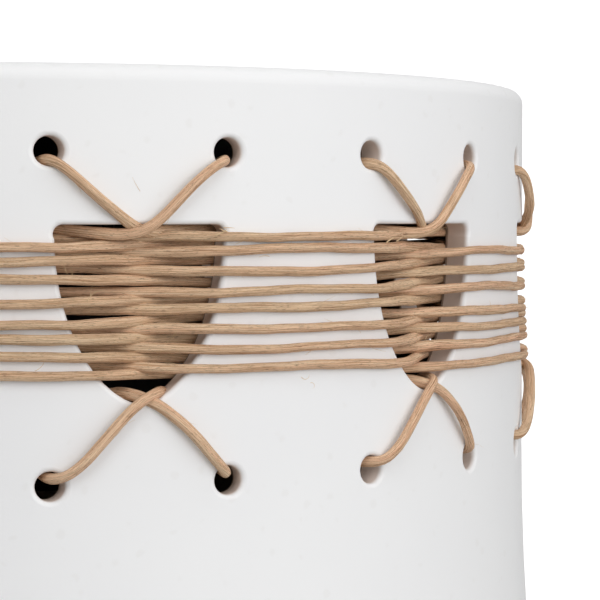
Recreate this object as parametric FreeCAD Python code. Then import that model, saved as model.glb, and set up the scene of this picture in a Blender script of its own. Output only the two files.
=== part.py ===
"""A tabletop torch: a flared white ceramic drum with a cane-laced band, a tray and a fuel canister.

Millimetres, +Z up, origin in the middle of the circle that the foot pads stand on.
Angles run from the -Y side towards +X, so angle 0 is the front.
"""
import FreeCAD, Part
import math
import os

from FreeCAD import Vector

# ---- driving dimensions -------------------------------------------------------------------------
HEIGHT = 300.0              # top of the rim above the ground
WAIST_R = 130.0             # outer radius of the straight upper part
WALL = 6.0                  # ceramic wall
RIM_ROUND = 3.5             # rounding of the rim's outer edge
FLARE_START = 85.0          # the wall starts to flare this far below the rim
FLARE_R = 640.0             # radius of the flare's curve
FLARE_SLOPE = 0.16          # the flare's curve ends where the wall leans out this much
PAD_STAND = 1.5             # the foot pads hold the ceramic this far off the ground

OPENINGS = 11               # shield-shaped openings round the waist
FIRST_OPENING = 12.7        # angle of the first opening, in degrees
OPENING_TOP = 32.2          # top of the openings, below the rim
OPENING_DEEP = 36.0         # height of the openings
OPENING_HALF = 17.5         # half of their width at the top
OPENING_CORNER = 1.5        # rounding of their top corners
LACE_HOLE_R = 3.0           # holes for the laces
MOUTH_ROUND = 1.0           # soft outer edge of the openings and of the holes
LACE_HOLE_SIDE = 18.5       # the holes' distance from the middle line of their opening
UPPER_HOLES = 17.6          # the upper holes' middles, below the rim
LOWER_HOLES = 84.2          # the lower holes' middles, below the rim

CANE_R = 0.9                # round cane
BAND_TOP = 36.0             # middle of the first turn of the band, below the rim
BAND_PITCH = 1.85           # drop from one turn to the next
# First and last panel of each length of cane, counted along the winding from the panel that is right
# of the first opening. The band winds to the left as it goes down, in front of even panels, and its
# ends are tucked behind odd ones.
BAND_SPANS = ((-1, 9), (11, 49), (49, 89), (89, 129), (129, 167))
BAND_END = 1.0              # each end stops this many degrees short of its panel's middle
BAND_EDGE = 3.2             # the band starts to leave a panel's face this many degrees before its edge
CANE_GAP = 0.35             # air between the cane and the wall
CANE_BEND = 1.8             # a lace's middle line passes a hole's edge at this distance
CANE_BEND_R = 10.0          # radius of the cane's bends at the edges of the ceramic
HOLE_BEND_R = 3.3           # radius of the laces' bends at the edges of their holes
LACE_LEAN = 0.7             # a lace goes through its hole this far above or below the hole's middle
LACE_UNDER = 1.2            # height above the face of the lace that passes underneath, at the crossing
LACE_OVER = 3.5             # height of the lace that passes over it
LACE_BEHIND = 2.4           # a lace's middle line behind the wall, inside its inner face

BEAD_R = 118.0              # inner radius of the thick bead under the rim
BEAD_DEEP = 9.0             # its height
BEAD_TAPER = 4.0            # below that the bead tapers back into the wall over this height
LIP_ROUND = 1.5             # rounding of the rim's inner edge
REBATE_R = 121.5            # step in the bead that the tray lies in
REBATE_DEEP = 3.0
TRAY_THICK = 1.5            # dished steel tray that closes the top
DISH_R = 115.0              # the dish starts at this radius
DISH_DEEP = 16.0            # the flat land round the canister, below the rim
LAND_R = 64.0               # outer radius of that land
WELL_R = 48.5               # the hole that the canister hangs in
WELL_COLLAR = 8.0           # height of the collar turned down round that hole

CAN_R = 46.0                # fuel canister
CAN_DEEP = 95.0             # its bottom, below the rim
CAN_WALL = 1.0
CAN_FLANGE_R = 57.0
CAN_ROUND = 6.0             # rounding of the canister's bottom edge
PAN_DEEP = 28.0             # floor of the pan in the canister's top, below the rim
NECK_R = 16.0
NECK_BORE_R = 13.0
NECK_FOOT_R = 19.0          # the neck's foot, soldered to the pan
THREAD_DEEP = 0.6
THREAD_PITCH = 2.0
NECK_TOP = 19.0             # top of the neck, below the rim
CAP_R = 20.0                # burner cap
CAP_TOP = 15.5              # its top, below the rim
CAP_FLUTES = 30             # grooves round its grip
FLUTE_R = 1.2
TUBE_R = 6.6                # wick tube
TUBE_BORE_R = 5.6
TUBE_LOW = 32.0             # the tube's lower end, below the rim
TUBE_TOP = 8.4              # its upper edge
WICK_R = 5.4
WICK_TOP = 4.2              # the wick's tip, below the rim
SNUFFER_R = 9.6             # snuffer bell
SNUFFER_TOP = 0.8           # its top, below the rim
SNUFFER_WALL = 1.2
RIVET_R = 1.2               # rivet through the bell's top
FIT_GAP = 0.3               # air between pieces that move past each other

PADS = 6
PAD_R = 7.0                 # rubber foot pads
PAD_THICK = 4.0
FOOT_WIDE = 18.0            # the ceramic's thick foot ring
FOOT_THICK = 8.0
PAD_INSET = 8.0             # the pads' middles, inside the foot's outer edge
CUT_START = 10.0            # cutting tools start this far outside the waist
CUT_LONG = 30.0             # and are this long

STEP_ANGLE = 360.0 / OPENINGS
INNER_R = WAIST_R - WALL
Z = Vector(0, 0, 1)


# ---- helpers ------------------------------------------------------------------------------------
def below(depth):
    """Height of a level that is given as a depth below the rim."""
    return HEIGHT - depth


def around(angle, radius, z):
    """Point at an angle from the front, a radius and a height."""
    turn = math.radians(angle)
    return Vector(radius * math.sin(turn), -radius * math.cos(turn), z)


def revolve(outline):
    """Solid of revolution about Z of a closed outline in (radius, z)."""
    points = [Vector(r, 0, z) for r, z in outline]
    face = Part.Face(Part.makePolygon(points + points[:1]))
    return face.revolve(Vector(0, 0, 0), Z, 360)


def tube(outer, inner, low, high):
    """Plain ring between two heights."""
    return revolve([(inner, low), (outer, low), (outer, high), (inner, high)])


def face_placement(angle):
    """Placement that takes (u, depth, z) at the front to the same place at an angle."""
    return FreeCAD.Placement(Vector(0, 0, 0), FreeCAD.Rotation(Z, angle))


def save(name, shape):
    """Write one node, after a check of its solids."""
    if not shape.isValid():
        print("invalid shape:", name)
    shape.exportStep(os.path.join("parts", name + ".step"))
    print(f"{name}: {len(shape.Solids)} solid, {shape.Volume / 1000:.2f} cm3")


# ---- ceramic body -------------------------------------------------------------------------------
def flare_end():
    """Depth below the rim, and radius, where the flare's curve becomes a straight slope."""
    angle = math.atan(FLARE_SLOPE)
    depth = FLARE_START + FLARE_R * math.sin(angle)
    radius = WAIST_R + FLARE_R * (1 - math.cos(angle))
    return depth, radius


def foot_radius():
    """Outer radius of the ceramic at its foot."""
    depth, radius = flare_end()
    return radius + FLARE_SLOPE * (HEIGHT - PAD_STAND - depth)


def flare_edges(offset):
    """Curve and slope of the wall's outside, moved inwards by an offset, from the waist down."""
    angle = math.atan(FLARE_SLOPE)
    centre_r = WAIST_R + FLARE_R
    reach = FLARE_R + offset

    def on_curve(turn):
        return Vector(centre_r - reach * math.cos(turn), 0, below(FLARE_START) - reach * math.sin(turn))

    curve = Part.Arc(on_curve(0), on_curve(angle / 2), on_curve(angle)).toShape()
    end = on_curve(angle)
    foot_z = PAD_STAND
    foot = Vector(end.x + FLARE_SLOPE * (end.z - foot_z), 0, foot_z)
    return curve, Part.LineSegment(end, foot).toShape(), foot


def body_section():
    """Closed section of the wall and its rim, without the openings."""
    quarter = math.sqrt(0.5)
    outer_curve, outer_slope, outer_foot = flare_edges(0)
    inner_curve, inner_slope, inner_foot = flare_edges(WALL)
    top = below(0)
    rim_start = Vector(WAIST_R, 0, top - RIM_ROUND)
    rim_mid = Vector(WAIST_R - RIM_ROUND * (1 - quarter), 0, top - RIM_ROUND * (1 - quarter))
    rim_end = Vector(WAIST_R - RIM_ROUND, 0, top)
    lip_start = Vector(REBATE_R + LIP_ROUND, 0, top)
    lip_mid = Vector(REBATE_R + LIP_ROUND * (1 - quarter), 0, top - LIP_ROUND * (1 - quarter))
    lip_end = Vector(REBATE_R, 0, top - LIP_ROUND)
    path = [
        Vector(REBATE_R, 0, below(REBATE_DEEP)),
        Vector(BEAD_R, 0, below(REBATE_DEEP)),
        Vector(BEAD_R, 0, below(BEAD_DEEP)),
        Vector(INNER_R, 0, below(BEAD_DEEP + BEAD_TAPER)),
        Vector(INNER_R, 0, below(FLARE_START)),
    ]
    edges = [outer_slope, outer_curve]
    edges.append(Part.LineSegment(Vector(WAIST_R, 0, below(FLARE_START)), rim_start).toShape())
    edges.append(Part.Arc(rim_start, rim_mid, rim_end).toShape())
    edges.append(Part.LineSegment(rim_end, lip_start).toShape())
    edges.append(Part.Arc(lip_start, lip_mid, lip_end).toShape())
    for start, end in zip([lip_end] + path[:-1], path):
        edges.append(Part.LineSegment(start, end).toShape())
    edges += [inner_curve, inner_slope]
    edges.append(Part.LineSegment(inner_foot, outer_foot).toShape())
    return Part.Face(Part.Wire(Part.__sortEdges__(edges)))


def half_width(depth):
    """Half of an opening's width at a depth below the rim: a shield that closes at its foot."""
    part = min(max((depth - OPENING_TOP) / OPENING_DEEP, 0.0), 1.0)
    return OPENING_HALF * (1 - part ** 2.3) ** 0.6


def opening_cutter():
    """The opening at the front, as a straight prism through the wall."""
    reach = WAIST_R + CUT_START
    parts = (0.08, 0.25, 0.42, 0.58, 0.72, 0.84, 0.93, 0.985)
    right = []
    for part in parts:
        depth = OPENING_TOP + part * OPENING_DEEP
        right.append(Vector(half_width(depth), -reach, below(depth)))
    lowest = Vector(0, -reach, below(OPENING_TOP + OPENING_DEEP))
    left = [Vector(-p.x, p.y, p.z) for p in reversed(right)]
    sides = Part.BSplineCurve()
    sides.interpolate(right + [lowest] + left)
    top = below(OPENING_TOP)
    corner = OPENING_CORNER
    flat = OPENING_HALF - corner
    bend = corner * (1 - math.sqrt(0.5))
    top_right = Vector(flat, -reach, top)
    top_left = Vector(-flat, -reach, top)
    edges = [
        Part.Arc(left[-1], Vector(-OPENING_HALF + bend, -reach, top - bend), top_left).toShape(),
        Part.LineSegment(top_left, top_right).toShape(),
        Part.Arc(top_right, Vector(OPENING_HALF - bend, -reach, top - bend), right[0]).toShape(),
        sides.toShape(),
    ]
    face = Part.Face(Part.Wire(Part.__sortEdges__(edges)))
    return face.extrude(Vector(0, CUT_LONG, 0))


def hole_cutter(side, depth):
    """One lace hole, drilled parallel to the middle line of its opening."""
    start = Vector(side * LACE_HOLE_SIDE, -(WAIST_R + CUT_START), below(depth))
    return Part.makeCylinder(LACE_HOLE_R, CUT_LONG, start, Vector(0, 1, 0))


def pad_angles():
    """Angles of the foot pads."""
    return [360.0 / PADS * (index + 0.5) for index in range(PADS)]


def pad_radius():
    """Circle that the foot pads' middles lie on."""
    return foot_radius() - PAD_INSET


def body_shell():
    """The ceramic: wall, rim with its bead, openings, lace holes and a thick foot with pad recesses."""
    shell = body_section().revolve(Vector(0, 0, 0), Z, 360)
    foot_out = foot_radius() - 1
    foot_top = PAD_STAND + FOOT_THICK
    ring = revolve([(foot_out - FOOT_WIDE, PAD_STAND), (foot_out, PAD_STAND),
                    (foot_out - FLARE_SLOPE * FOOT_THICK - 0.2, foot_top), (foot_out - FOOT_WIDE, foot_top)])
    shell = shell.fuse(ring)
    front = [opening_cutter()]
    front += [hole_cutter(side, depth) for side in (-1, 1) for depth in (UPPER_HOLES, LOWER_HOLES)]
    cutters = []
    for index in range(OPENINGS):
        turn = face_placement(FIRST_OPENING + index * STEP_ANGLE)
        for tool in front:
            piece = tool.copy()
            piece.Placement = turn
            cutters.append(piece)
    for angle in pad_angles():
        base = around(angle, pad_radius(), 0)
        cutters.append(Part.makeCylinder(PAD_R, PAD_THICK, base, Z))
    return soft_mouths(shell.cut(cutters).removeSplitter().Solids[0])


def soft_mouths(shell):
    """Round the outer edges of the openings and the lace holes, as thick glaze does."""
    low = below(LOWER_HOLES + LACE_HOLE_R + 1)
    high = below(UPPER_HOLES - LACE_HOLE_R - 1)
    edges = []
    for edge in shell.Edges:
        box = edge.BoundBox
        if box.ZMin < low or box.ZMax > high:
            continue
        span = edge.LastParameter - edge.FirstParameter
        points = [edge.valueAt(edge.FirstParameter + span * step / 4) for step in range(5)]
        if all(abs(math.hypot(point.x, point.y) - WAIST_R) < 0.02 for point in points):
            edges.append(edge)
    return shell.makeFillet(MOUTH_ROUND, edges)


def foot_pad(angle):
    """One rubber pad, glued in its recess, with a rounded lower edge."""
    pad = Part.makeCylinder(PAD_R - 0.1, PAD_THICK, around(angle, pad_radius(), 0), Z)
    lower = [edge for edge in pad.Edges if edge.BoundBox.ZMax < 0.01]
    return pad.makeFillet(0.8, lower)


# ---- fuel canister ------------------------------------------------------------------------------
GASKET_THICK = 0.8
FLANGE_UNDER = DISH_DEEP - GASKET_THICK    # underside of the canister's flange, below the rim
FLANGE_TOP = FLANGE_UNDER - CAN_WALL
LID_TOP = FLANGE_TOP - CAN_WALL


def fire_tray():
    """Dished steel tray: a flat edge in the rebate, the dish, a land, and a collar turned down."""
    edge_r = REBATE_R - FIT_GAP
    edge = REBATE_DEEP
    thick = TRAY_THICK
    collar_r = WELL_R + thick
    collar_low = below(DISH_DEEP + WELL_COLLAR)
    return revolve([(edge_r, below(edge)), (edge_r, below(edge - thick)), (DISH_R, below(edge - thick)),
                    (LAND_R, below(DISH_DEEP)), (WELL_R, below(DISH_DEEP)), (WELL_R, collar_low),
                    (collar_r, collar_low), (collar_r, below(DISH_DEEP + thick)),
                    (LAND_R, below(DISH_DEEP + thick)), (DISH_R, below(edge))])


def seat_gasket():
    """Flat fibre ring that the canister's flange rests on."""
    return tube(CAN_FLANGE_R + 1, WELL_R + 1, below(DISH_DEEP), below(FLANGE_UNDER))


def canister_body():
    """Drawn steel cup with a rounded bottom and a flange."""
    bottom = below(CAN_DEEP)
    cup = revolve([(0, bottom), (CAN_R, bottom), (CAN_R, below(FLANGE_UNDER)),
                   (CAN_FLANGE_R, below(FLANGE_UNDER)), (CAN_FLANGE_R, below(FLANGE_TOP)),
                   (0, below(FLANGE_TOP))])
    lower = [edge for edge in cup.Edges if edge.BoundBox.ZMax < bottom + 0.01 and edge.Length > 10]
    cup = cup.makeFillet(CAN_ROUND, lower)
    inner_r = CAN_R - CAN_WALL
    hollow = Part.makeCylinder(inner_r, CAN_DEEP, Vector(0, 0, bottom + CAN_WALL), Z)
    low_edge = [edge for edge in hollow.Edges if edge.BoundBox.ZMax < bottom + CAN_WALL + 0.01]
    return cup.cut(hollow.makeFillet(CAN_ROUND - CAN_WALL, low_edge))


def canister_top():
    """Steel lid: rolled over the flange outside, and a pan round the neck inside."""
    outer = CAN_R - CAN_WALL
    inner = outer - CAN_WALL
    rolled = CAN_FLANGE_R + CAN_WALL
    pan = revolve([(NECK_BORE_R + 2, below(PAN_DEEP + CAN_WALL)), (outer, below(PAN_DEEP + CAN_WALL)),
                   (outer, below(FLANGE_TOP)), (CAN_FLANGE_R, below(FLANGE_TOP)),
                   (CAN_FLANGE_R, below(FLANGE_UNDER)), (rolled, below(FLANGE_UNDER)),
                   (rolled, below(LID_TOP)), (inner, below(LID_TOP)),
                   (inner, below(PAN_DEEP)), (NECK_BORE_R + 2, below(PAN_DEEP))])
    corner = [edge for edge in pan.Edges
              if abs(edge.BoundBox.ZMax - below(LID_TOP)) < 0.01 and edge.BoundBox.XMax > CAN_FLANGE_R]
    return pan.makeFillet(0.8, corner)


def canister_neck():
    """Brass neck soldered into the pan, with the crests of its thread."""
    foot = below(PAN_DEEP)
    top = below(NECK_TOP)
    sleeve_r = NECK_BORE_R + 2
    outline = [(NECK_BORE_R, foot - 3), (sleeve_r, foot - 3), (sleeve_r, foot), (NECK_FOOT_R, foot),
               (NECK_FOOT_R, foot + 1)]
    root = NECK_R - THREAD_DEEP
    quarter = THREAD_PITCH / 4
    z = foot + 1.4
    while z + 3 * quarter < top:
        outline += [(root, z), (NECK_R, z + quarter), (NECK_R, z + 2 * quarter), (root, z + 3 * quarter)]
        z += THREAD_PITCH
    outline += [(root, top), (NECK_BORE_R, top)]
    return revolve(outline)


COLLAR_THICK = 1.0
NECK_GASKET_THICK = 0.8


def neck_gasket():
    """Flat seal between the neck and the wick collar."""
    return tube(NECK_R - 0.4, NECK_BORE_R, below(NECK_TOP), below(NECK_TOP - NECK_GASKET_THICK))


def wick_collar():
    """Brass disc that carries the wick tube."""
    low = NECK_TOP - NECK_GASKET_THICK
    return tube(NECK_R - 0.2, TUBE_R, below(low), below(low - COLLAR_THICK))


def wick_tube():
    """Brass tube with a rounded upper edge."""
    edge = below(TUBE_TOP + 0.6)
    return revolve([(TUBE_BORE_R, below(TUBE_LOW)), (TUBE_R, below(TUBE_LOW)), (TUBE_R, edge),
                    (TUBE_R - 0.3, below(TUBE_TOP)), (TUBE_BORE_R + 0.2, below(TUBE_TOP)),
                    (TUBE_BORE_R, edge)])


def wick():
    """Woven wick, from its rounded tip down to just above the canister's floor."""
    low = below(CAN_DEEP - 3)
    body = Part.makeCylinder(WICK_R, below(WICK_TOP) - low, Vector(0, 0, low), Z)
    tip = [edge for edge in body.Edges if edge.BoundBox.ZMin > below(WICK_TOP) - 0.01]
    return body.makeFillet(2.0, tip)


def burner_cap():
    """Union nut over the neck, with a fluted grip and a hole for the wick tube."""
    skirt_low = below(PAN_DEEP - 1 - FIT_GAP)
    inside_top = below(NECK_TOP - NECK_GASKET_THICK - COLLAR_THICK - FIT_GAP)
    bore = NECK_R + FIT_GAP
    chamfer = 1.5
    cap = revolve([(bore, skirt_low), (CAP_R, skirt_low), (CAP_R, below(CAP_TOP + chamfer)),
                   (CAP_R - chamfer, below(CAP_TOP)), (TUBE_R + FIT_GAP, below(CAP_TOP)),
                   (TUBE_R + FIT_GAP, inside_top), (bore, inside_top)])
    tools = []
    for index in range(CAP_FLUTES):
        base = around(360.0 / CAP_FLUTES * index, CAP_R + 0.6 * FLUTE_R, skirt_low - 1)
        tools.append(Part.makeCylinder(FLUTE_R, below(CAP_TOP + 2) - skirt_low + 1, base, Z))
    return cap.cut(tools)


def snuffer_cap():
    """Spun bell that stands on the burner cap and closes over the wick."""
    foot = below(CAP_TOP - FIT_GAP)
    top = below(SNUFFER_TOP)
    wall = SNUFFER_WALL
    brim_r = SNUFFER_R + 2
    bell = revolve([(0, foot), (brim_r, foot), (brim_r, foot + wall),
                    (SNUFFER_R, foot + wall + 0.8), (SNUFFER_R, top), (0, top)])
    upper = [edge for edge in bell.Edges if edge.BoundBox.ZMin > top - 0.01 and edge.Length > 10]
    bell = bell.makeFillet(2.5, upper)
    hollow = Part.makeCylinder(SNUFFER_R - wall, top - wall - foot, Vector(0, 0, foot), Z)
    inner = [edge for edge in hollow.Edges if edge.BoundBox.ZMin > top - wall - 0.01]
    return bell.cut(hollow.makeFillet(1.6, inner)).cut(rivet_shank())


def rivet_shank():
    """The rivet's shank, through the top of the bell into the knob."""
    return Part.makeCylinder(RIVET_R, 3.4, Vector(0, 0, below(SNUFFER_TOP + SNUFFER_WALL)), Z)


def snuffer_knob():
    """Turned knob on top of the bell: radii and heights above the bell."""
    profile = ((0, 0), (3.2, 0), (3.2, 0.8), (2.2, 1.4), (4.2, 2.4), (4.2, 3.4), (3.0, 4.4), (0, 4.8))
    foot = below(SNUFFER_TOP)
    return revolve([(radius, foot + height) for radius, height in profile]).cut(rivet_shank())


def knob_rivet():
    """Rivet that holds the knob, with its head inside the bell."""
    head_thick = 0.7
    head_low = below(SNUFFER_TOP + SNUFFER_WALL + head_thick)
    head = Part.makeCylinder(2 * RIVET_R, head_thick, Vector(0, 0, head_low), Z)
    return head.fuse(rivet_shank()).removeSplitter()


# ---- cane ---------------------------------------------------------------------------------------
def rounded_path(route):
    """Straight runs joined by tangent arcs. A route is pairs of a corner and the largest radius there.

    Each arc's radius is as large as its two runs and that limit allow.
    """
    edges = []
    radii = []
    corners = [corner for corner, _ in route]
    limits = [limit for _, limit in route]
    last = corners[0]
    for before, corner, after, largest in zip(corners, corners[1:], corners[2:], limits[1:]):
        back = (before - corner)
        ahead = (after - corner)
        room = 0.45 * min(back.Length, ahead.Length)
        back.normalize()
        ahead.normalize()
        half_turn = (math.pi - back.getAngle(ahead)) / 2
        radius = min(room / math.tan(half_turn), largest)
        cut = radius * math.tan(half_turn)
        middle = back + ahead
        middle.normalize()
        start = corner + back * cut
        end = corner + ahead * cut
        apex = corner + middle * (radius / math.cos(half_turn) - radius)
        edges.append(Part.LineSegment(last, start).toShape())
        edges.append(Part.Arc(start, apex, end).toShape())
        radii.append(radius)
        last = end
    edges.append(Part.LineSegment(last, corners[-1]).toShape())
    return Part.Wire(edges), radii


def cane(route):
    """A length of cane along a route, whose volume is compared with its section times its length."""
    path, radii = rounded_path(route)
    start = route[0][0]
    circle = Part.Circle(start, route[1][0] - start, CANE_R).toShape()
    sweep = Part.BRepOffsetAPI.MakePipeShell(path)
    sweep.add(Part.Wire(circle), False, False)
    sweep.build()
    sweep.makeSolid()
    solid = sweep.shape()
    ratio = solid.Volume / (math.pi * CANE_R ** 2 * path.Length)
    print(f"  cane {path.Length:.0f} mm long, tightest bend {min(radii):.1f} mm, volume ratio {ratio:.4f}")
    return solid


def band_depth(turn):
    """Depth below the rim of the band's middle line after so many turns."""
    return BAND_TOP + BAND_PITCH * turn


def panel_half(depth, radius):
    """Half of the angle between two openings, at a depth and a radius, for cane of full thickness."""
    width = half_width(depth + CANE_R + CANE_GAP)
    return STEP_ANGLE / 2 - math.degrees(math.asin(width / radius))


def band_route(first, last):
    """Route of the band from behind panel first to behind panel last.

    The cane passes in front of every even panel, round its face, and straight behind every odd one.
    Offsets from a panel's middle are angles along the winding, which runs to the left.
    """
    route = []
    lift = CANE_R + CANE_GAP
    face_r = WAIST_R + lift
    back_r = INNER_R - lift
    for panel in range(first, last + 1):
        middle = FIRST_OPENING + (0.5 - panel) * STEP_ANGLE
        depth = band_depth(panel / OPENINGS)
        if panel % 2 == 0:
            half = panel_half(depth, WAIST_R) + 0.2
            wrap = half - BAND_EDGE
            edge_r = face_r / math.cos(math.radians(BAND_EDGE))
            middle_r = face_r / math.cos(math.radians(wrap))
            stops = [(-half, edge_r, CANE_BEND_R), (0, middle_r, face_r), (half, edge_r, CANE_BEND_R)]
        else:
            half = panel_half(depth, INNER_R) + 0.3
            end_r = back_r * math.cos(math.radians(half)) / math.cos(math.radians(BAND_END))
            entry = (BAND_END, end_r) if panel == first else (-half, back_r)
            leave = (-BAND_END, end_r) if panel == last else (half, back_r)
            stops = [(*entry, CANE_BEND_R), (*leave, CANE_BEND_R)]
        for offset, radius, bend in stops:
            drop = BAND_PITCH * offset / 360
            route.append((around(middle - offset, radius, below(depth + drop)), bend))
    return route


def lace(side, over, hole_depth, stops):
    """One lace, all the way round.

    It comes out of one hole of every opening, runs to the middle of the opening's edge, passes the
    other lace there and goes behind the wall. side is 1 for the lace that runs to the right. stops
    are the places after the hole, as angle past the opening's middle line, radius and depth.
    """
    route = []
    hole_angle = math.degrees(math.asin(LACE_HOLE_SIDE / WAIST_R)) - 0.35
    towards = 1 if stops[0][2] > hole_depth else -1
    through = hole_depth + towards * LACE_LEAN
    for step in range(OPENINGS):
        middle = FIRST_OPENING + step * side * STEP_ANGLE
        hole = middle - side * hole_angle
        route.append((around(hole - side * 0.3, INNER_R - CANE_BEND, below(through)), HOLE_BEND_R))
        route.append((around(hole, WAIST_R + CANE_BEND, below(through)), HOLE_BEND_R))
        for angle, radius, depth in stops:
            route.append((around(middle + side * angle, radius, below(depth)), CANE_BEND_R))
        if over and step < OPENINGS - 1:
            panel = middle + side * STEP_ANGLE / 2
            crossing = (through + stops[-1][2]) / 2
            route.append((around(panel, INNER_R - 2.5 * LACE_BEHIND, below(crossing)), 3 * CANE_BEND_R))
    return cane(route)


def laces():
    """The four laces by name. Where two cross, one stands further out."""
    under_r = WAIST_R + LACE_UNDER
    over_r = WAIST_R + LACE_OVER
    behind_r = INNER_R - LACE_BEHIND
    upper_cross = 33.9
    lower_cross = 66.6
    upper_tuck = [(8.9, behind_r, upper_cross + 0.2)]
    lower_tuck = [(1.4, INNER_R - CANE_BEND, lower_cross - 1.0), (8.0, behind_r - 0.3, lower_cross)]
    return {
        "upper_lace_a": lace(1, False, UPPER_HOLES, [(1.8, under_r, upper_cross)] + upper_tuck),
        "upper_lace_b": lace(-1, True, UPPER_HOLES, [(1.8, over_r, upper_cross)] + upper_tuck),
        "lower_lace_a": lace(1, True, LOWER_HOLES, [(0.8, over_r + 0.6, lower_cross)] + lower_tuck),
        "lower_lace_b": lace(-1, False, LOWER_HOLES, [(0.8, under_r + 0.2, lower_cross)] + lower_tuck),
    }


# ---- all nodes ----------------------------------------------------------------------------------
def build():
    """Every node by name."""
    nodes = {"body_shell": body_shell()}
    for number, angle in enumerate(pad_angles(), 1):
        nodes[f"foot_pad_{number}"] = foot_pad(angle)
    for maker in (fire_tray, seat_gasket, canister_body, canister_top, canister_neck, neck_gasket,
                  wick_collar, wick_tube, wick, burner_cap, snuffer_cap, snuffer_knob, knob_rivet):
        nodes[maker.__name__] = maker()
    for number, (first, last) in enumerate(BAND_SPANS, 1):
        nodes[f"band_cane_{number}"] = cane(band_route(first, last))
    nodes.update(laces())
    return nodes


os.makedirs("parts", exist_ok=True)
for node_name, node_shape in build().items():
    save(node_name, node_shape)
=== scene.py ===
"""The looks of a tabletop torch: a white glazed drum laced with cane, round its CAD frame.

Lengths in this file are millimetres until mesh() turns them into metres. Angles run from the -Y side
(the front) towards +X. A depth is measured down from the rim.
"""

import math

import bpy
import numpy as np
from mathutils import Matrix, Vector


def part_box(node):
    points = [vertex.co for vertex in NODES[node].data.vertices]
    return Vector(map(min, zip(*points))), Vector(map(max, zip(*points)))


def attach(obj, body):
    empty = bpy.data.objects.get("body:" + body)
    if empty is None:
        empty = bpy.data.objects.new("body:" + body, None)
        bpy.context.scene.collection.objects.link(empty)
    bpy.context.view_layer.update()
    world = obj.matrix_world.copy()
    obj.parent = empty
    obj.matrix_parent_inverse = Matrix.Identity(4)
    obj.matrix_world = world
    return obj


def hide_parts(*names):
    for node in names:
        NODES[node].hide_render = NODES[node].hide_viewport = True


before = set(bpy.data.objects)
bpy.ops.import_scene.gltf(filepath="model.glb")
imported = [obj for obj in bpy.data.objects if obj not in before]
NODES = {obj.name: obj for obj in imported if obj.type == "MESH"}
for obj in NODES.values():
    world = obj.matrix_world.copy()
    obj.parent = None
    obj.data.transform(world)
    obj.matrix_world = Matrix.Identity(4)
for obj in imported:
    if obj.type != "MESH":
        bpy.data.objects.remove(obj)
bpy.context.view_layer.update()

MM = 0.001

# ---- the drum, as the CAD has it ----------------------------------------------------------------
WAIST_R = 130.0
WALL = 6.0
INNER_R = WAIST_R - WALL
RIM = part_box("body_shell")[1].z / MM
OPENINGS = 11
STEP = 360.0 / OPENINGS
FIRST_OPENING = 12.7
OPENING_TOP = 32.2
OPENING_DEEP = 36.0
OPENING_HALF = 17.5
FLARE_START = 85.0
FLARE_R = 640.0
FLARE_SLOPE = 0.16

# ---- the cane -----------------------------------------------------------------------------------
BAND_R = 0.97
LACE_R = 1.05
CANE_STEP = 1.1             # distance between the rings of a strand
PRESSED = 0.16              # share by which a strand swells half-way through an opening
# First and last panel of each length of the band, counted along the winding from the panel that is
# right of the first opening. The band winds to the left as it goes down, in front of even panels.
BAND_SPANS = ((-1, 9), (11, 49), (49, 89), (89, 129), (129, 167))
BAND_TOP = 34.8
BAND_PITCH = 1.87
# Depths of the turns that pass in front of four panels, as the weaver's hand laid them. The key is
# the panel's place in two turns, 22 panels, and the depths follow each other every 22 panels.
HAND_ROWS = {
    0: (34.6, 37.3, 41.6, 45.8, 49.0, 53.4, 57.4, 61.5),
    10: (36.4, 38.4, 42.4, 46.6, 52.0, 55.2, 58.9, 63.5),
    12: (36.9, 39.4, 43.2, 47.7, 52.0, 55.1, 58.4, 62.0),
    20: (38.4, 42.6, 46.8, 51.8, 55.0, 58.7, 63.3),
}
# The laces' routes: distance past the opening's middle line along the way the lace runs, height
# above the drum's outer face, and depth.
UPPER_OVER = ((-18.9, -8.4, 19.6), (-18.6, -3.5, 19.3), (-17.9, 0.5, 19.2), (-16.1, 1.4, 19.9),
              (-12.9, 1.9, 21.9), (-9.5, 2.1, 24.9), (-5.4, 1.6, 29.2), (-2.3, 1.4, 32.2),
              (0.9, 0.8, 33.9), (4.8, -1.2, 34.3), (10.9, -4.2, 33.7), (16.3, -7.2, 32.9),
              (20.5, -8.6, 32.0))
UPPER_UNDER = ((-18.9, -8.4, 19.6), (-18.7, -3.5, 19.4), (-18.2, 0.5, 19.4), (-16.6, 1.3, 20.4),
               (-13.8, 1.8, 22.9), (-8.8, 1.9, 27.4), (-4.8, 1.1, 30.4), (-1.5, -0.6, 32.8),
               (2.2, -2.6, 33.8), (8.5, -4.8, 33.6), (16.3, -7.4, 33.0), (20.5, -8.8, 32.0))
LOWER_OVER = ((-18.9, -8.4, 82.4), (-18.6, -3.5, 82.6), (-17.8, 0.5, 82.8), (-15.4, 1.4, 82.0),
              (-12.0, 1.9, 79.2), (-8.2, 2.0, 74.8), (-3.4, 1.8, 69.6), (-0.4, 1.5, 67.2),
              (2.6, 0.0, 66.1), (5.0, -4.0, 66.0), (7.4, -7.9, 66.4), (13.0, -8.8, 68.6))
LOWER_UNDER = ((-18.9, -8.4, 82.4), (-18.6, -3.5, 82.6), (-17.9, 0.5, 82.6), (-16.2, 1.3, 80.9),
               (-11.6, 1.8, 75.7), (-8.2, 1.7, 72.3), (-4.1, 1.1, 68.9), (-1.2, 0.1, 67.2),
               (1.8, -2.9, 66.2), (3.6, -5.8, 66.0), (6.4, -8.0, 66.6), (13.0, -9.0, 69.0))
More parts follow.
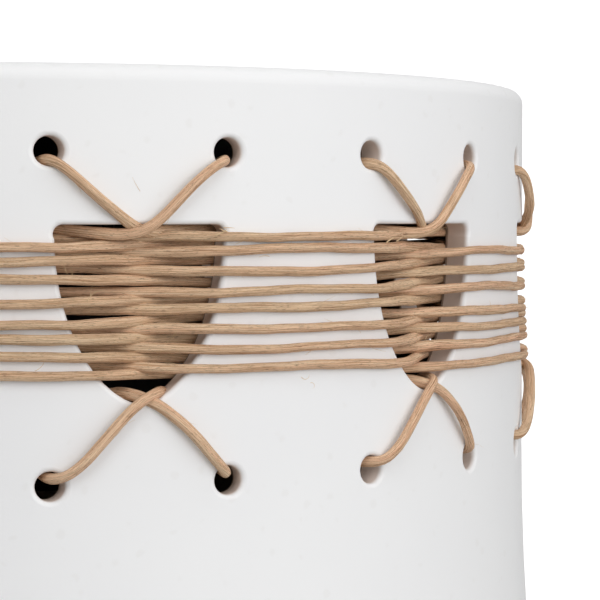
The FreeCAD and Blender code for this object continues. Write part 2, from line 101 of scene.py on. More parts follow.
# Fibres that stand out from the cane where a splinter has lifted: angle, depth, length, heading
# (degrees up from the way the angles run), curl to the left of that heading (degrees) and thickness.
STRAY_FIBRES = (
    (7.6, 47.4, 4.6, 70, -75, 0.07), (7.9, 47.2, 3.0, 96, -20, 0.05), (28.0, 63.6, 2.6, -62, 150, 0.06),
    (29.0, 64.9, 2.0, 20, -170, 0.05), (39.2, 54.9, 2.6, 60, 260, 0.07), (43.0, 55.4, 3.4, 150, 230, 0.07),
    (44.0, 57.6, 3.6, 120, -200, 0.06), (0.9, 40.3, 2.4, 118, 25, 0.06), (1.4, 40.5, 2.2, 100, -30, 0.05),
    (5.9, 41.9, 3.2, 122, -35, 0.06), (6.3, 42.3, 2.0, 80, 50, 0.05), (19.2, 34.4, 2.8, 12, 30, 0.16),
    (20.4, 33.7, 2.2, 172, -25, 0.14), (38.2, 36.2, 2.8, 40, -25, 0.17), (39.6, 35.9, 2.2, 22, 30, 0.14),
    (12.3, 25.6, 3.4, 128, -10, 0.05), (20.0, 32.9, 2.4, 5, -12, 0.09), (3.1, 61.0, 3.2, 20, 60, 0.05),
    (14.6, 55.8, 3.4, 25, 50, 0.06), (24.6, 38.7, 3.0, 168, 30, 0.06),
)

# ---- the eye ------------------------------------------------------------------------------------
EYE = (0.0, -619.8, 269.6)
EYE_TURN = 6.97             # towards +X
EYE_DOWN = 1.96
LENS = 148.2

# ---- the light ----------------------------------------------------------------------------------
SKY_LIGHT = 0.66
FLOOR_GLOW = 0.1
# Each lamp's name, place, diameter and power, in metres and watts.
LAMPS = (
    ("key_lamp", (-0.35, -1.0, 0.95), 0.8, 3.6),
    ("front_lamp", (0.7, -1.1, 0.55), 0.9, 4.6),
    ("side_lamp", (1.5, -0.6, 0.6), 1.0, 4.6),
)


# ---- shapes as whole arrays ---------------------------------------------------------------------
def around(angle, radius, z):
    """Points at angles from the front, in degrees, at radii and heights."""
    turn = np.radians(angle)
    return np.stack([radius * np.sin(turn), -radius * np.cos(turn), z + 0 * turn], axis=-1)


def half_width(depth):
    """Half of an opening's width: half its top width times (1 - share^2.3)^0.6, share from top to foot."""
    share = np.clip((depth - OPENING_TOP) / OPENING_DEEP, 0, 1)
    return OPENING_HALF * (1 - share ** 2.3) ** 0.6


def resampled(points, step):
    """The same line with points about one step apart, by straight interpolation along its length."""
    length = np.concatenate([[0], np.cumsum(np.linalg.norm(np.diff(points, axis=0), axis=1))])
    places = np.linspace(0, length[-1], max(int(round(length[-1] / step)), 2) + 1)
    return np.stack([np.interp(places, length, points[:, k]) for k in range(3)], axis=1)


def eased(points, reach, step=0.5):
    """A line whose corners are rounded: a moving average with a bell-shaped weight of that reach."""
    fine = resampled(points, step)
    half = int(3 * reach / step)
    weight = np.exp(-0.5 * (np.arange(-half, half + 1) * step / reach) ** 2)
    weight /= weight.sum()
    head = 2 * fine[0] - fine[half:0:-1]
    tail = 2 * fine[-1] - fine[-2:-half - 2:-1]
    padded = np.concatenate([head, fine, tail])
    return np.stack([np.convolve(padded[:, k], weight, "valid") for k in range(3)], axis=1)


def waves(places, sizes, lengths, seed):
    """Smooth unevenness: a sum of sines of the given sizes and wave lengths, with random starts."""
    starts = np.random.default_rng(seed).uniform(0, 2 * np.pi, len(sizes))
    return sum(size * np.sin(2 * np.pi * places / length + start)
               for size, length, start in zip(sizes, lengths, starts))


def mesh(name, points, faces, uv=None):
    """A smooth mesh object from points in millimetres. uv holds one pair for each face corner."""
    data = bpy.data.meshes.new(name)
    data.from_pydata((np.asarray(points) * MM).tolist(), [], faces)
    if uv is not None:
        layer = data.uv_layers.new(name="UVMap")
        layer.data.foreach_set("uv", np.asarray(uv, dtype=np.float32).ravel())
    data.polygons.foreach_set("use_smooth", np.ones(len(data.polygons), dtype=bool))
    data.update()
    piece = bpy.data.objects.new(name, data)
    bpy.context.scene.collection.objects.link(piece)
    return piece


def tube_rings(path, radius, sides, turn):
    """Rings of a tube round a path.

    The ring's first point looks up: up is +Z less its part along the path. radius is one number, one
    per ring, or one per ring and side. turn twists each ring, in radians.
    """
    ahead = np.gradient(path, axis=0)
    ahead /= np.linalg.norm(ahead, axis=1, keepdims=True)
    up = np.array([0.0, 0.0, 1.0]) - ahead[:, 2:3] * ahead
    up /= np.linalg.norm(up, axis=1, keepdims=True)
    side = np.cross(ahead, up)
    angle = np.linspace(0, 2 * np.pi, sides, endpoint=False)[None, :] + np.reshape(turn, (-1, 1))
    reach = np.broadcast_to(np.asarray(radius, float), angle.shape) if np.ndim(radius) == 2 else \
        np.reshape(radius, (-1, 1)) * np.ones_like(angle)
    return (path[:, None, :] + (reach * np.cos(angle))[..., None] * up[:, None, :]
            + (reach * np.sin(angle))[..., None] * side[:, None, :])


def tube_mesh(rings, start_length=0.0):
    """Points, faces and UV of closed tube rings, with a flat fan at both ends.

    U is the length along the tube in metres and V goes once round it.
    """
    count, sides = rings.shape[:2]
    points = np.concatenate([rings.reshape(-1, 3), rings[0].mean(0)[None], rings[-1].mean(0)[None]])
    ring, side = np.meshgrid(np.arange(count - 1), np.arange(sides), indexing="ij")
    after = (side + 1) % sides
    quads = np.stack([ring * sides + side, ring * sides + after,
                      (ring + 1) * sides + after, (ring + 1) * sides + side], axis=-1).reshape(-1, 4)
    middle = rings.mean(1)
    length = np.concatenate([[0], np.cumsum(np.linalg.norm(np.diff(middle, axis=0), axis=1))]) * MM
    length += start_length
    u0, u1 = length[ring], length[ring + 1]
    v0, v1 = side / sides, (side + 1) / sides
    quad_uv = np.stack([u0, v0, u0, v1, u1, v1, u1, v0], axis=-1).reshape(-1, 8)
    edge = np.arange(sides)
    first = np.stack([np.full(sides, count * sides), (edge + 1) % sides, edge], axis=1)
    last_ring = (count - 1) * sides
    last = np.stack([np.full(sides, count * sides + 1), last_ring + edge,
                     last_ring + (edge + 1) % sides], axis=1)
    fan_uv = np.zeros((2 * sides, 6))
    fan_uv[:, 0::2] = length[0]
    faces = quads.tolist() + first.tolist() + last.tolist()
    uv = np.concatenate([quad_uv.ravel(), fan_uv.ravel()])
    return points, faces, uv


# ---- cane pieces --------------------------------------------------------------------------------
STRANDS = []


def cane_piece(name, path, seed, radius, node):
    """A length of peeled cane along a path, in place of a CAD node.

    Its thickness drifts slowly, its section is a little flat and grooved, and the section turns as
    it goes. It swells where it passes through an opening, by a half sine of its place between the
    wall's faces: reach = radius x drift x pressed x (1 + flats + grooves + lumps).
    """
    sides = 20
    path = resampled(path, CANE_STEP)
    places = np.arange(len(path)) * CANE_STEP
    angle = np.linspace(0, 2 * np.pi, sides, endpoint=False)[None, :]
    twist = waves(places, (0.9, 0.5), (310.0, 130.0), seed)[:, None]
    drift = 1 + waves(places, (0.045, 0.03), (170.0, 47.0), seed + 1)[:, None]
    flats = 0.05 * np.cos(2 * (angle + twist)) + 0.02 * np.cos(5 * (angle + 2 * twist))
    depth = 0.5 + 0.5 * waves(places, (0.6, 0.4), (61.0, 23.0), seed + 3)[:, None]
    grooves = -0.05 * np.clip(depth, 0, 1) * np.exp(-(np.sin(angle / 2 + twist + 0.7 * seed) / 0.16) ** 2)
    lumps = 0.012 * waves(places, (1.0, 1.0), (9.0, 5.3), seed + 2)[:, None] * np.cos(3 * angle)
    share = np.clip((np.hypot(path[:, 0], path[:, 1]) - INNER_R + 1) / (WALL + 2), 0, 1)
    pressed = 1 + PRESSED * np.sin(np.pi * share)[:, None]
    reach = radius * drift * pressed * (1 + flats + grooves + lumps)
    points, faces, uv = tube_mesh(tube_rings(path, reach, sides, np.zeros(len(path))), seed * 3.7)
    piece = mesh(name, points, faces, uv)
    dress(piece, CANE)
    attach(piece, "torch_body")
    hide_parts(node)
    STRANDS.append((path, radius))


def row_depth(panel):
    """Depth of the band where it passes a panel. Behind a panel it lies between the turns in front."""
    if panel % 2:
        return 0.5 * (row_depth(panel - OPENINGS) + row_depth(panel + OPENINGS))
    turns, place_in_two = divmod(panel, 2 * OPENINGS)
    if place_in_two in HAND_ROWS and 0 <= turns < len(HAND_ROWS[place_in_two]):
        return HAND_ROWS[place_in_two][turns]
    sag = 0.45 * math.sin(2.3 * panel) + 0.3 * math.sin(0.71 * panel)
    return BAND_TOP + BAND_PITCH * panel / OPENINGS + sag


def band_path(first, last):
    """The band's line past the panels first to last.

    It runs round the face of even panels and straight behind odd ones, and it starts and ends behind
    the middle of a panel.
    """
    lift = BAND_R + 0.05
    foot = OPENING_TOP + 0.96 * OPENING_DEEP
    line = []
    for panel in range(first, last + 1):
        share = np.linspace(0.08 if panel == first else -1, -0.08 if panel == last else 1, 9)
        middle = FIRST_OPENING + (0.5 - panel) * STEP
        depth = row_depth(panel)
        radius = INNER_R if panel % 2 else WAIST_R
        half = STEP / 2 - math.degrees(math.asin(half_width(min(depth + 1.2, foot)) / radius))
        lean = (row_depth(panel + 1) - row_depth(panel - 1)) / 2 * half / STEP
        if panel % 2:
            reach = (INNER_R - lift) * math.cos(math.radians(half)) / np.cos(np.radians(half * share))
        else:
            reach = np.full(9, WAIST_R + lift)
        line.append(around(middle - half * share, reach, RIM - depth - lean * share))
    path = eased(np.concatenate(line), 1.7)
    places = np.arange(len(path)) * 0.5
    path[:, 2] += waves(places, (0.18, 0.12, 0.05), (83.0, 37.0, 14.0), first + 5)
    return path


def band():
    """The five lengths of cane round the waist."""
    for number, (first, last) in enumerate(BAND_SPANS, 1):
        path = band_path(first, last)
        cane_piece(f"band_length_{number}", path, 20 + number, BAND_R, f"band_cane_{number}")


def lace_path(side, route, behind, seed):
    """A lace's line all the way round: one uneven route at every opening, joined behind the wall."""
    rng = np.random.default_rng(seed)
    line = []
    for step in range(OPENINGS):
        middle = FIRST_OPENING + step * side * STEP
        past, height, depth = np.array(route).T
        radius = WAIST_R + height
        loose = np.exp(-((past + 7) / 7) ** 2) * (0 if step < 2 else 1)
        depth = depth + loose * rng.uniform(-0.5, 0.5)
        radius = radius + loose * rng.uniform(0.0, 0.4)
        angle = np.degrees(np.arcsin(past / radius))
        line.append(around(middle + side * angle, radius, RIM - depth))
        if step < OPENINGS - 1:
            line.append(around(np.array([middle + side * STEP / 2]), np.array([INNER_R - behind]),
                               np.array([RIM - (depth[0] + depth[-1]) / 2])))
    return eased(np.concatenate(line), 1.5)


def laces():
    """Two laces over the openings and two under them."""
    plan = (
        ("upper_lace_a", 1, UPPER_UNDER, 2.6), ("upper_lace_b", -1, UPPER_OVER, 5.6),
        ("lower_lace_a", 1, LOWER_OVER, 5.6), ("lower_lace_b", -1, LOWER_UNDER, 2.6),
    )
    for number, (node, side, route, behind) in enumerate(plan):
        path = lace_path(side, route, behind, 40 + number)
        cane_piece(node + "_cane", path, 50 + number, LACE_R, node)


def fibres(starts, ways, sides, lengths, curls, thick):
    """Points and faces of many thin tapering fibres at once.

    Each runs along way, turning towards side by curl radians over its length, on an arc of a circle.
    """
    rings, corners = 9, 4
    share = np.linspace(0, 1, rings)[None, :]
    bend = np.where(np.abs(curls) < 0.05, 0.05, curls)[:, None]
    along = np.sin(bend * share) / bend
    across = (1 - np.cos(bend * share)) / bend
    line = starts[:, None] + lengths[:, None, None] * (along[..., None] * ways[:, None]
                                                        + across[..., None] * sides[:, None])
    third = np.cross(ways, sides)
    turn = np.linspace(0, 2 * np.pi, corners, endpoint=False)
    reach = thick[:, None] * (1 - 0.75 * share ** 2)
    turned = (bend * share)[..., None]
    across_way = sides[:, None] * np.cos(turned) - ways[:, None] * np.sin(turned)
    points = (line[:, :, None]
              + (reach[..., None] * np.cos(turn))[..., None] * across_way[:, :, None]
              + (reach[..., None] * np.sin(turn))[..., None] * third[:, None, None])
    fibre, ring, corner = np.meshgrid(np.arange(len(starts)), np.arange(rings - 1), np.arange(corners),
                                      indexing="ij")
    base = (fibre * rings + ring) * corners
    after = (corner + 1) % corners
    quads = np.stack([base + corner, base + after, base + corners + after, base + corners + corner], axis=-1)
    first = np.arange(len(starts))[:, None] * rings * corners
    ends = [first + np.arange(corners)[::-1], first + (rings - 1) * corners + np.arange(corners)]
    return points.reshape(-1, 3), quads.reshape(-1, 4).tolist() + np.concatenate(ends).tolist()


def cane_fibres():
    """Fine fibres that stand out from the cane: a few where splinters lifted, and a soft fuzz all round."""
    rng = np.random.default_rng(5)
    angle, depth, length, heading, curl, thick = np.array(STRAY_FIBRES).T
    turn = np.radians(angle)
    zero = np.zeros_like(turn)
    out = np.stack([np.sin(turn), -np.cos(turn), zero], axis=1)
    right = np.stack([np.cos(turn), np.sin(turn), zero], axis=1)
    up = np.array([0.0, 0.0, 1.0])
    rise = np.radians(heading)[:, None]
    way = right * np.cos(rise) + up * np.sin(rise) + 0.22 * out
    way /= np.linalg.norm(way, axis=1, keepdims=True)
    side = np.cross(out, way)
    side /= np.linalg.norm(side, axis=1, keepdims=True)
    start = around(angle, WAIST_R + 2 * BAND_R - 0.2, RIM - depth)
    sets = [(start, way, side, length, np.radians(curl), thick)]
    for path, radius in STRANDS:
        count = int(len(path) / 26)
        spots = rng.choice(np.flatnonzero(np.hypot(path[3:-3, 0], path[3:-3, 1]) > WAIST_R - 3) + 3, count)
        start = path[spots]
        ahead = path[spots + 1] - path[spots - 1]
        ahead /= np.linalg.norm(ahead, axis=1, keepdims=True)
        out = start * (1.0, 1.0, 0.0)
        out -= (out * ahead).sum(1, keepdims=True) * ahead
        out /= np.linalg.norm(out, axis=1, keepdims=True)
        spin = rng.uniform(-1.3, 1.3, (count, 1))
        away = out * np.cos(spin) + np.cross(ahead, out) * np.sin(spin)
        way = ahead * rng.choice([-1.0, 1.0], (count, 1)) + away * rng.uniform(0.08, 0.5, (count, 1))
        way /= np.linalg.norm(way, axis=1, keepdims=True)
        side = np.cross(way, away)
        side /= np.linalg.norm(side, axis=1, keepdims=True)
        sets.append((start + radius * 0.96 * away, way, side, rng.uniform(0.8, 3.4, count) ** 1.2,
                     rng.normal(0, 0.7, count), rng.uniform(0.02, 0.045, count)))
    starts, ways, sides, lengths, curls, thick = [np.concatenate(part) for part in zip(*sets)]
    piece = mesh("cane_fibres", *fibres(starts, ways, sides, lengths, curls, thick))
    dress(piece, FIBRE)
    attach(piece, "torch_body")


# ---- wick ---------------------------------------------------------------------------------------
def braided_wick():
    """The wick's braid: a cylinder with a domed tip, raised where one of two sets of yarns passes over.

    The yarns run as helices, so height = max(cos(k (turn + climb)), cos(k (turn - climb))), the second
    set shifted by half a yarn, and the tip's radius follows a quarter of an ellipse.
    """
    low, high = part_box("wick")
    base_r = high.x / MM - 0.35
    yarns, pitch, dome = 9, 9.0, 2.4
    z = np.concatenate([np.arange(low.z / MM, high.z / MM - dome, 0.4),
                        high.z / MM - dome + dome * np.sin(np.linspace(0, 1.5, 12))])[:, None]
    turn = np.linspace(0, 2 * np.pi, 96, endpoint=False)[None, :]
    climb = 2 * np.pi * z / (pitch * yarns) * 2
    rising = np.abs(np.cos(yarns * (turn + climb) / 2))
    falling = np.abs(np.cos(yarns * (turn - climb) / 2))
    over = 0.5 + 0.5 * np.sign(np.sin(yarns * climb) * np.sin(yarns * turn))
    height = np.maximum(rising * (0.75 + 0.25 * over), falling * (1 - 0.25 * over))
    taper = np.sqrt(np.clip(1 - np.clip((z - high.z / MM + dome) / dome, 0, 1) ** 2, 0.004, 1))
    reach = (base_r + 0.34 * (height - 0.5)) * taper
    rings = np.stack([reach * np.cos(turn), reach * np.sin(turn), z + 0 * turn], axis=-1)
    points, faces, uv = tube_mesh(rings)
    piece = mesh("wick_braid", points, faces, uv)
    dress(piece, WICK)
    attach(piece, "wick_holder")
    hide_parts("wick")


# ---- shader building blocks ---------------------------------------------------------------------
class Shader:
    """A short way to write nodes: each call adds a node, links its inputs and returns an output."""

    def __init__(self, tree):
        self.tree = tree

    def node(self, kind, **settings):
        """A new node; kind leaves out the word Shader."""
        made = self.tree.nodes.new(kind if kind.startswith("Node") else "ShaderNode" + kind)
        for key, value in settings.items():
            setattr(made, key, value)
        return made

    def feed(self, socket, value):
        """Link a socket to an output, or set its value."""
        if isinstance(value, bpy.types.NodeSocket):
            self.tree.links.new(value, socket)
        else:
            socket.default_value = value

    def call(self, kind, out, inputs, **settings):
        """The output of a new node that is fed these inputs."""
        made = self.node(kind, **settings)
        for key, value in inputs.items():
            self.feed(made.inputs[key], value)
        return made.outputs[out]

    def math(self, operation, *values):
        """The result of a sum on numbers."""
        return self.call("Math", 0, dict(enumerate(values)), operation=operation)

    def spot(self):
        """Object coordinates."""
        return self.node("TexCoord").outputs["Object"]

    def parts(self, vector):
        """The X, Y and Z of a vector."""
        split = self.node("SeparateXYZ")
        self.feed(split.inputs[0], vector)
        return split.outputs

    def vector(self, x, y, z):
        """A vector from its three parts."""
        return self.call("CombineXYZ", 0, {"X": x, "Y": y, "Z": z})

    def from_axis(self):
        """Distance from the Z axis, and Z."""
        x, y, z = self.parts(self.spot())
        squares = self.math("ADD", self.math("MULTIPLY", x, x), self.math("MULTIPLY", y, y))
        return self.math("SQRT", squares), z

    def noise(self, vector, scale, detail=2.0, rough=0.5):
        """Cloudy noise from 0 to 1."""
        inputs = {"Vector": vector, "Scale": scale, "Detail": detail, "Roughness": rough}
        return self.call("TexNoise", "Fac", inputs)

    def ramp(self, value, low, high, first=0.0, last=1.0):
        """first at low and beyond it, last at high."""
        inputs = {"Value": value, "From Min": low, "From Max": high, "To Min": first, "To Max": last}
        return self.call("MapRange", 0, inputs)

    def blend(self, share, one, two):
        """The first number where share is 0, the second where it is 1."""
        return self.call("Mix", 0, {0: share, 2: one, 3: two}, data_type="FLOAT")

    def mix(self, share, one, two):
        """The first colour where share is 0, the second where it is 1."""
        return self.call("Mix", 2, {0: share, 6: one, 7: two}, data_type="RGBA")

    def bump(self, height, strength, distance):
        """A normal from a height."""
        return self.call("Bump", "Normal", {"Height": height, "Strength": strength, "Distance": distance})

    def place(self, name, **inputs):
        """The outputs of a node group placed here."""
        made = self.node("Group", node_tree=bpy.data.node_groups[name])
        for key, value in inputs.items():
            self.feed(made.inputs[key.replace("_", " ")], value)
        return made.outputs


def colour(red, green, blue):
    """A colour from its display values, 0 to 255."""
    share = np.array([red, green, blue]) / 255
    linear = np.where(share <= 0.04045, share / 12.92, ((share + 0.055) / 1.055) ** 2.4)
    return (*linear.tolist(), 1.0)


def material(name, **plain):
    """A new material, its node writer and its Principled inputs, with constants set on its own sockets."""
    made = bpy.data.materials.new(name)
    made.use_nodes = True
    surface = made.node_tree.nodes["Principled BSDF"].inputs
    for key, value in plain.items():
        surface[key.replace("_", " ")].default_value = value
    return made, Shader(made.node_tree), surface


def dress(piece, look):
    """Give a piece one material."""
    piece.data.materials.clear()
    piece.data.materials.append(look)


def group(name, inputs, outputs):
    """A new node group with named number inputs and their values, and named number outputs."""
    tree = bpy.data.node_groups.new(name, "ShaderNodeTree")
    for label, value in inputs.items():
        tree.interface.new_socket(label, in_out="INPUT", socket_type="NodeSocketFloat").default_value = value
    for label in outputs:
        tree.interface.new_socket(label, in_out="OUTPUT", socket_type="NodeSocketFloat")
    shader = Shader(tree)
    return shader, shader.node("NodeGroupInput").outputs, shader.node("NodeGroupOutput").inputs


def make_speckle():
    """Group: fine grain, cloudy patches and scattered specks on Object coordinates."""
    sizes = {"Grain Scale": 900.0, "Cloud Scale": 14.0, "Speck Scale": 500.0}
    shader, given, result = group("speckle", sizes, ("Grain", "Clouds", "Specks"))
    spot = shader.spot()
    shader.feed(result["Grain"], shader.noise(spot, given["Grain Scale"], 3.0, 0.6))
    shader.feed(result["Clouds"], shader.noise(spot, given["Cloud Scale"], 3.0, 0.55))
    dots = shader.call("TexVoronoi", "Distance", {"Vector": spot, "Scale": given["Speck Scale"]})
    chance = shader.noise(spot, given["Speck Scale"], 0.0)
    specks = shader.math("MULTIPLY", shader.ramp(dots, 0.32, 0.2), shader.ramp(chance, 0.6, 0.66))
    shader.feed(result["Specks"], specks)


def make_turning():
    """Group: fine rings round the Z axis, as a lathe or a spinning tool leaves them."""
    shader, given, result = group("turning", {"Ring Scale": 2200.0}, ("Rings",))
    radius, z = shader.from_axis()
    shader.feed(result["Rings"], shader.noise(shader.vector(radius, z, 0.0), given["Ring Scale"], 3.0, 0.65))


def make_fibre_lines():
    """Group: long fibres of a stem, from noise stretched along U on a circle of V so that it closes."""
    shader, given, result = group("fibre lines", {"Along": 40.0, "Across": 3.2, "Detail": 4.0}, ("Lines",))
    uv = shader.parts(shader.node("TexCoord").outputs["UV"])
    turn = shader.math("MULTIPLY", uv[1], 2 * math.pi)
    stretched = shader.vector(shader.math("MULTIPLY", shader.math("COSINE", turn), given["Across"]),
                              shader.math("MULTIPLY", shader.math("SINE", turn), given["Across"]),
                              shader.math("MULTIPLY", uv[0], given["Along"]))
    shader.feed(result["Lines"], shader.noise(stretched, 2.0, given["Detail"], 0.6))


# ---- materials ----------------------------------------------------------------------------------
def make_glaze():
    """Matt white glaze outside, a warmer off-white on the cut faces, and brown painted shade on the inside
    faces.

    The wall's outer radius at a height is the waist's plus the flare's: the square of the drop over
    twice the flare's radius, then a straight slope.
    """
    look, shader, surface = material("matt_white_glaze", Specular_IOR_Level=0.35)
    speckle = shader.place("speckle", Grain_Scale=1400.0, Cloud_Scale=9.0, Speck_Scale=260.0)
    radius, z = shader.from_axis()
    drop = shader.math("MAXIMUM", shader.math("SUBTRACT", (RIM - FLARE_START) * MM, z), 0.0)
    bend = shader.math("DIVIDE", shader.math("MULTIPLY", drop, drop), 2 * FLARE_R * MM)
    curve_end = FLARE_SLOPE * FLARE_R * MM
    slope = shader.math("SUBTRACT", shader.math("MULTIPLY", drop, FLARE_SLOPE), curve_end * FLARE_SLOPE / 2)
    flare = shader.blend(shader.math("GREATER_THAN", drop, curve_end), bend, slope)
    outer = shader.math("ADD", flare, WAIST_R * MM)
    under_face = shader.math("SUBTRACT", outer, radius)
    below_rim = shader.math("LESS_THAN", z, (RIM - 3.2) * MM)
    inside = shader.math("MULTIPLY", shader.math("GREATER_THAN", under_face, (WALL - 0.5) * MM), below_rim)
    cut = shader.math("MULTIPLY", shader.ramp(under_face, 0.35 * MM, 1.3 * MM), below_rim)
    clouds = shader.ramp(speckle["Clouds"], 0.35, 0.7)
    white = shader.mix(clouds, colour(247, 247, 247), colour(243, 243, 244))
    white = shader.mix(shader.math("MULTIPLY", speckle["Specks"], 0.07), white, colour(205, 198, 188))
    # A warmer, slightly darker white on the faces where the wall is cut through.
    cut_face_tone = shader.mix(clouds, colour(238, 225, 216), colour(226, 211, 200))
    # Painted shade: the inside faces are coloured brown to stand in for the dark of the drum's closed
    # inside.
    inside_painted_shade = shader.mix(speckle["Clouds"], colour(172, 154, 140), colour(152, 134, 120))
    shader.feed(surface["Base Color"], shader.mix(inside, shader.mix(cut, white, cut_face_tone), inside_painted_shade))
    shader.feed(surface["Roughness"], shader.ramp(speckle["Grain"], 0.3, 0.7, 0.5, 0.64))
    shader.feed(surface["Normal"], shader.bump(speckle["Grain"], 0.12, 0.00012))
    return look


def make_cane():
    """Peeled cane: long fibres in tan, paler and darker, with pores, and a slow drift from tan to olive."""
    look, shader, surface = material("peeled_cane", Specular_IOR_Level=0.25)
    fibres_wide = shader.place("fibre lines", Along=26.0, Across=2.6, Detail=4.0)["Lines"]
    threads = shader.place("fibre lines", Along=60.0, Across=9.0, Detail=2.0)["Lines"]
    drift = shader.place("fibre lines", Along=2.3, Across=0.08, Detail=2.0)["Lines"]
    patches = shader.place("fibre lines", Along=16.0, Across=0.5, Detail=3.0)["Lines"]
    pores = shader.place("fibre lines", Along=330.0, Across=7.0, Detail=1.0)["Lines"]
    tan = shader.mix(shader.ramp(drift, 0.4, 0.6), colour(228, 194, 157), colour(242, 195, 160))
    tan = shader.mix(shader.ramp(patches, 0.42, 0.66, 0.0, 0.6), tan, colour(238, 208, 172))
    tan = shader.mix(shader.ramp(fibres_wide, 0.5, 0.66, 0.0, 0.75), tan, colour(248, 224, 190))
    tan = shader.mix(shader.ramp(fibres_wide, 0.48, 0.32, 0.0, 0.85), tan, colour(176, 130, 90))
    tan = shader.mix(shader.ramp(threads, 0.47, 0.36, 0.0, 0.85), tan, colour(140, 94, 60))
    tan = shader.mix(shader.ramp(pores, 0.38, 0.3, 0.0, 0.85), tan, colour(92, 60, 40))
    shader.feed(surface["Base Color"], tan)
    shader.feed(surface["Roughness"], shader.ramp(fibres_wide, 0.3, 0.7, 0.74, 0.5))
    relief = shader.math("ADD", fibres_wide, shader.math("MULTIPLY", threads, 0.6))
    shader.feed(surface["Normal"], shader.bump(relief, 0.9, 0.00024))
    return look


def make_fibre():
    """Single fibres of the cane: pale, with a little variation from one to the next."""
    look, shader, surface = material("cane_fibre", Roughness=0.6)
    tone = shader.noise(shader.spot(), 120.0)
    shader.feed(surface["Base Color"], shader.mix(tone, colour(236, 212, 172), colour(196, 156, 112)))
    return look


def make_black_paint():
    """Black heatproof paint: fine orange peel, a little ash dust, and scuffs that show grey."""
    look, shader, surface = material("black_heatproof_paint", Specular_IOR_Level=0.45)
    speckle = shader.place("speckle", Grain_Scale=1100.0, Cloud_Scale=22.0, Speck_Scale=420.0)
    black = shader.mix(speckle["Clouds"], colour(30, 30, 31), colour(44, 43, 43))
    black = shader.mix(shader.math("MULTIPLY", speckle["Specks"], 0.5), black, colour(116, 112, 106))
    shader.feed(surface["Base Color"], black)
    shader.feed(surface["Roughness"], shader.ramp(speckle["Clouds"], 0.3, 0.7, 0.42, 0.62))
    shader.feed(surface["Normal"], shader.bump(speckle["Grain"], 0.3, 0.0001))
    return look


def make_metal(name, bright, dull, smooth, rough, ring_scale):
    """Turned bare metal: rings from the tool, and dull patches where hands and heat have been."""
    look, shader, surface = material(name, Metallic=1.0)
    speckle = shader.place("speckle", Grain_Scale=1500.0, Cloud_Scale=60.0, Speck_Scale=900.0)
    rings = shader.place("turning", Ring_Scale=ring_scale)["Rings"]
    dullness = shader.ramp(speckle["Clouds"], 0.42, 0.68)
    tone = shader.mix(dullness, bright, dull)
    shader.feed(surface["Base Color"], shader.mix(shader.ramp(rings, 0.62, 0.4, 0.0, 0.35), tone, dull))
    shader.feed(surface["Roughness"], shader.ramp(dullness, 0.0, 1.0, smooth, rough))
    shader.feed(surface["Normal"], shader.bump(rings, 0.25, 0.00006))
    return look


def make_wick():
    """Glass fibre yarn, off-white, with a sooted tip."""
    look, shader, surface = material("sooted_glass_fibre", Roughness=0.9)
    speckle = shader.place("speckle", Grain_Scale=1800.0, Cloud_Scale=240.0, Speck_Scale=900.0)
    z = shader.parts(shader.spot())[2]
    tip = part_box("wick")[1].z
    edge = shader.math("ADD", z, shader.ramp(speckle["Clouds"], 0.3, 0.7, -0.002, 0.002))
    soot = shader.ramp(edge, tip - 0.009, tip - 0.0025)
    yarn = shader.mix(speckle["Grain"], colour(226, 220, 204), colour(196, 188, 168))
    shader.feed(surface["Base Color"], shader.mix(soot, yarn, colour(38, 34, 31)))
    shader.feed(surface["Normal"], shader.bump(speckle["Grain"], 0.5, 0.0002))
    return look


def make_oiled_wood():
    """Oiled dark hardwood with its grain running up the knob."""
    look, shader, surface = material("oiled_hardwood", Coat_Weight=0.15)
    x, y, z = shader.parts(shader.spot())
    grain = shader.noise(shader.vector(x, y, shader.math("MULTIPLY", z, 0.12)), 1500.0, 4.0, 0.6)
    pores = shader.noise(shader.vector(x, y, shader.math("MULTIPLY", z, 0.05)), 5200.0, 1.0)
    brown = shader.mix(shader.ramp(grain, 0.35, 0.65), colour(92, 56, 32), colour(138, 90, 54))
    shader.feed(surface["Base Color"], shader.mix(shader.ramp(pores, 0.4, 0.3), brown, colour(56, 33, 20)))
    shader.feed(surface["Roughness"], shader.ramp(grain, 0.3, 0.7, 0.35, 0.5))
    shader.feed(surface["Normal"], shader.bump(grain, 0.3, 0.0001))
    return look


def make_soft(name, dark, light, grain_scale):
    """Dull rubber or pressed fibre, with specks of a lighter filler."""
    look, shader, surface = material(name, Specular_IOR_Level=0.3)
    speckle = shader.place("speckle", Grain_Scale=grain_scale, Cloud_Scale=90.0, Speck_Scale=1200.0)
    base = shader.mix(speckle["Clouds"], dark, light)
    specks = shader.math("MULTIPLY", speckle["Specks"], 0.4)
    shader.feed(surface["Base Color"], shader.mix(specks, base, light))
    shader.feed(surface["Roughness"], shader.ramp(speckle["Grain"], 0.3, 0.7, 0.7, 0.9))
    shader.feed(surface["Normal"], shader.bump(speckle["Grain"], 0.5, 0.00015))
    return look


make_speckle()
make_turning()
make_fibre_lines()
CANE = make_cane()
FIBRE = make_fibre()
WICK = make_wick()
FINISHES = (
    (make_glaze(), ("body_shell",)),
    (make_black_paint(), ("fire_tray", "canister_body", "canister_top")),
    (make_metal("satin_brass", colour(214, 176, 104), colour(160, 122, 66), 0.28, 0.45, 2200.0),
     ("canister_neck", "wick_collar", "wick_tube", "burner_cap")),
    (make_metal("brushed_steel", colour(196, 196, 198), colour(140, 138, 136), 0.26, 0.42, 3000.0),
     ("snuffer_cap", "knob_rivet")),
    (make_oiled_wood(), ("snuffer_knob",)),
    (make_soft("pressed_fibre", colour(58, 54, 49), colour(92, 86, 78), 1500.0),
     ("seat_gasket", "neck_gasket")),
    (make_soft("black_rubber", colour(24, 24, 25), colour(38, 38, 39), 2200.0),
     tuple(name for name in NODES if name.startswith("foot_pad"))),
)
for finish, names in FINISHES:
    for node_name in names:
        dress(NODES[node_name], finish)

band()
laces()
cane_fibres()
braided_wick()


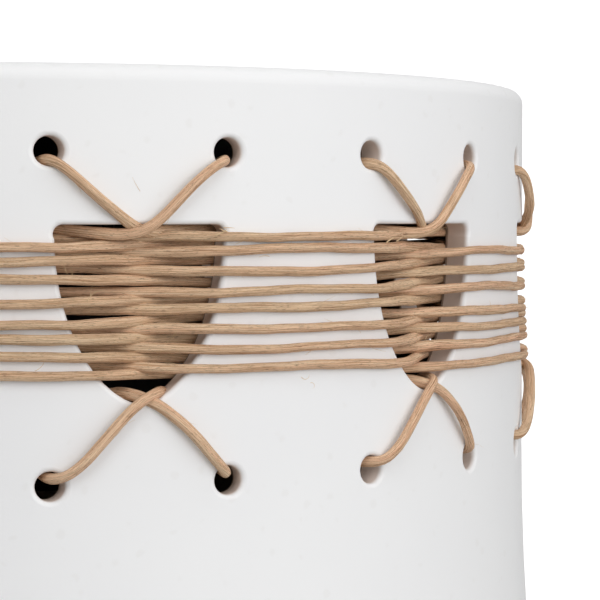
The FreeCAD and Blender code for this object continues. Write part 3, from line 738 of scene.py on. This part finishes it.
# ---- room, light and eye ------------------------------------------------------------------------
def room():
    """A pale floor that curves up into a round wall, well clear of the torch.

    The profile is a flat disk, a quarter ellipse and a straight wall, turned about Z. The floor is
    plain and pale near the torch and glows white further out.
    """
    bend = np.linspace(0.1, math.pi / 2, 12)
    radius = np.concatenate([np.linspace(0.3, 2.4, 8), 2.4 + 0.8 * np.sin(bend), [3.2]])
    height = np.concatenate([np.zeros(8), 0.8 - 0.8 * np.cos(bend), [2.6]])
    turn = np.linspace(0, 2 * np.pi, 97)[:-1]
    rings = np.stack([radius[:, None] * np.sin(turn), radius[:, None] * np.cos(turn),
                      height[:, None] * np.ones_like(turn)], axis=-1)
    count, sides = rings.shape[:2]
    points = np.concatenate([rings.reshape(-1, 3), [[0.0, 0.0, 0.0]]]) / MM
    ring, side = np.meshgrid(np.arange(count - 1), np.arange(sides), indexing="ij")
    after = (side + 1) % sides
    quads = np.stack([ring * sides + side, (ring + 1) * sides + side,
                      (ring + 1) * sides + after, ring * sides + after], axis=-1).reshape(-1, 4)
    edge = np.arange(sides)
    fan = np.stack([np.full(sides, count * sides), edge, (edge + 1) % sides], axis=1)
    floor = mesh("studio_floor", points, quads.tolist() + fan.tolist())
    look, shader, surface = material("studio_white", Roughness=0.9, Specular_IOR_Level=0.0)
    surface["Base Color"].default_value = colour(176, 176, 176)
    surface["Emission Color"].default_value = colour(255, 255, 255)
    far = shader.ramp(shader.from_axis()[0], 0.6, 1.0)
    seen = shader.node("LightPath").outputs["Is Camera Ray"]
    glow = shader.math("MULTIPLY", far, shader.blend(seen, FLOOR_GLOW, 1.0))
    shader.feed(surface["Emission Strength"], glow)
    dress(floor, look)


def sky():
    """An even white sky: pure white to the eye, softer as a light."""
    world = bpy.data.worlds.new("studio_sky")
    world.use_nodes = True
    shader = Shader(world.node_tree)
    surface = world.node_tree.nodes["Background"].inputs
    surface["Color"].default_value = colour(255, 255, 255)
    seen = shader.node("LightPath").outputs["Is Camera Ray"]
    shader.feed(surface["Strength"], shader.blend(seen, SKY_LIGHT, 1.0))
    bpy.context.scene.world = world


def lamps():
    """Large soft lamps: a key high in front and to the left, and weaker ones in front and on the right."""
    for name, place, size, power in LAMPS:
        lamp = bpy.data.lights.new(name, "AREA")
        lamp.shape = "DISK"
        lamp.size = size
        lamp.energy = power
        holder = bpy.data.objects.new(name, lamp)
        bpy.context.scene.collection.objects.link(holder)
        holder.location = place
        holder.visible_camera = False
        way = Vector((0.0, 0.0, 0.22)) - holder.location
        holder.rotation_euler = way.to_track_quat("-Z", "Y").to_euler()


def eye():
    """The camera, a little above the band's level and turned towards +X."""
    camera = bpy.data.cameras.new("eye")
    camera.lens = LENS
    camera.sensor_width = 36.0
    camera.clip_start = 0.01
    holder = bpy.data.objects.new("eye", camera)
    bpy.context.scene.collection.objects.link(holder)
    holder.location = [value * MM for value in EYE]
    holder.rotation_euler = (math.radians(90 - EYE_DOWN), 0.0, math.radians(-EYE_TURN))
    bpy.context.scene.camera = holder


room()
sky()
lamps()
eye()
bpy.context.scene.view_settings.view_transform = "Standard"
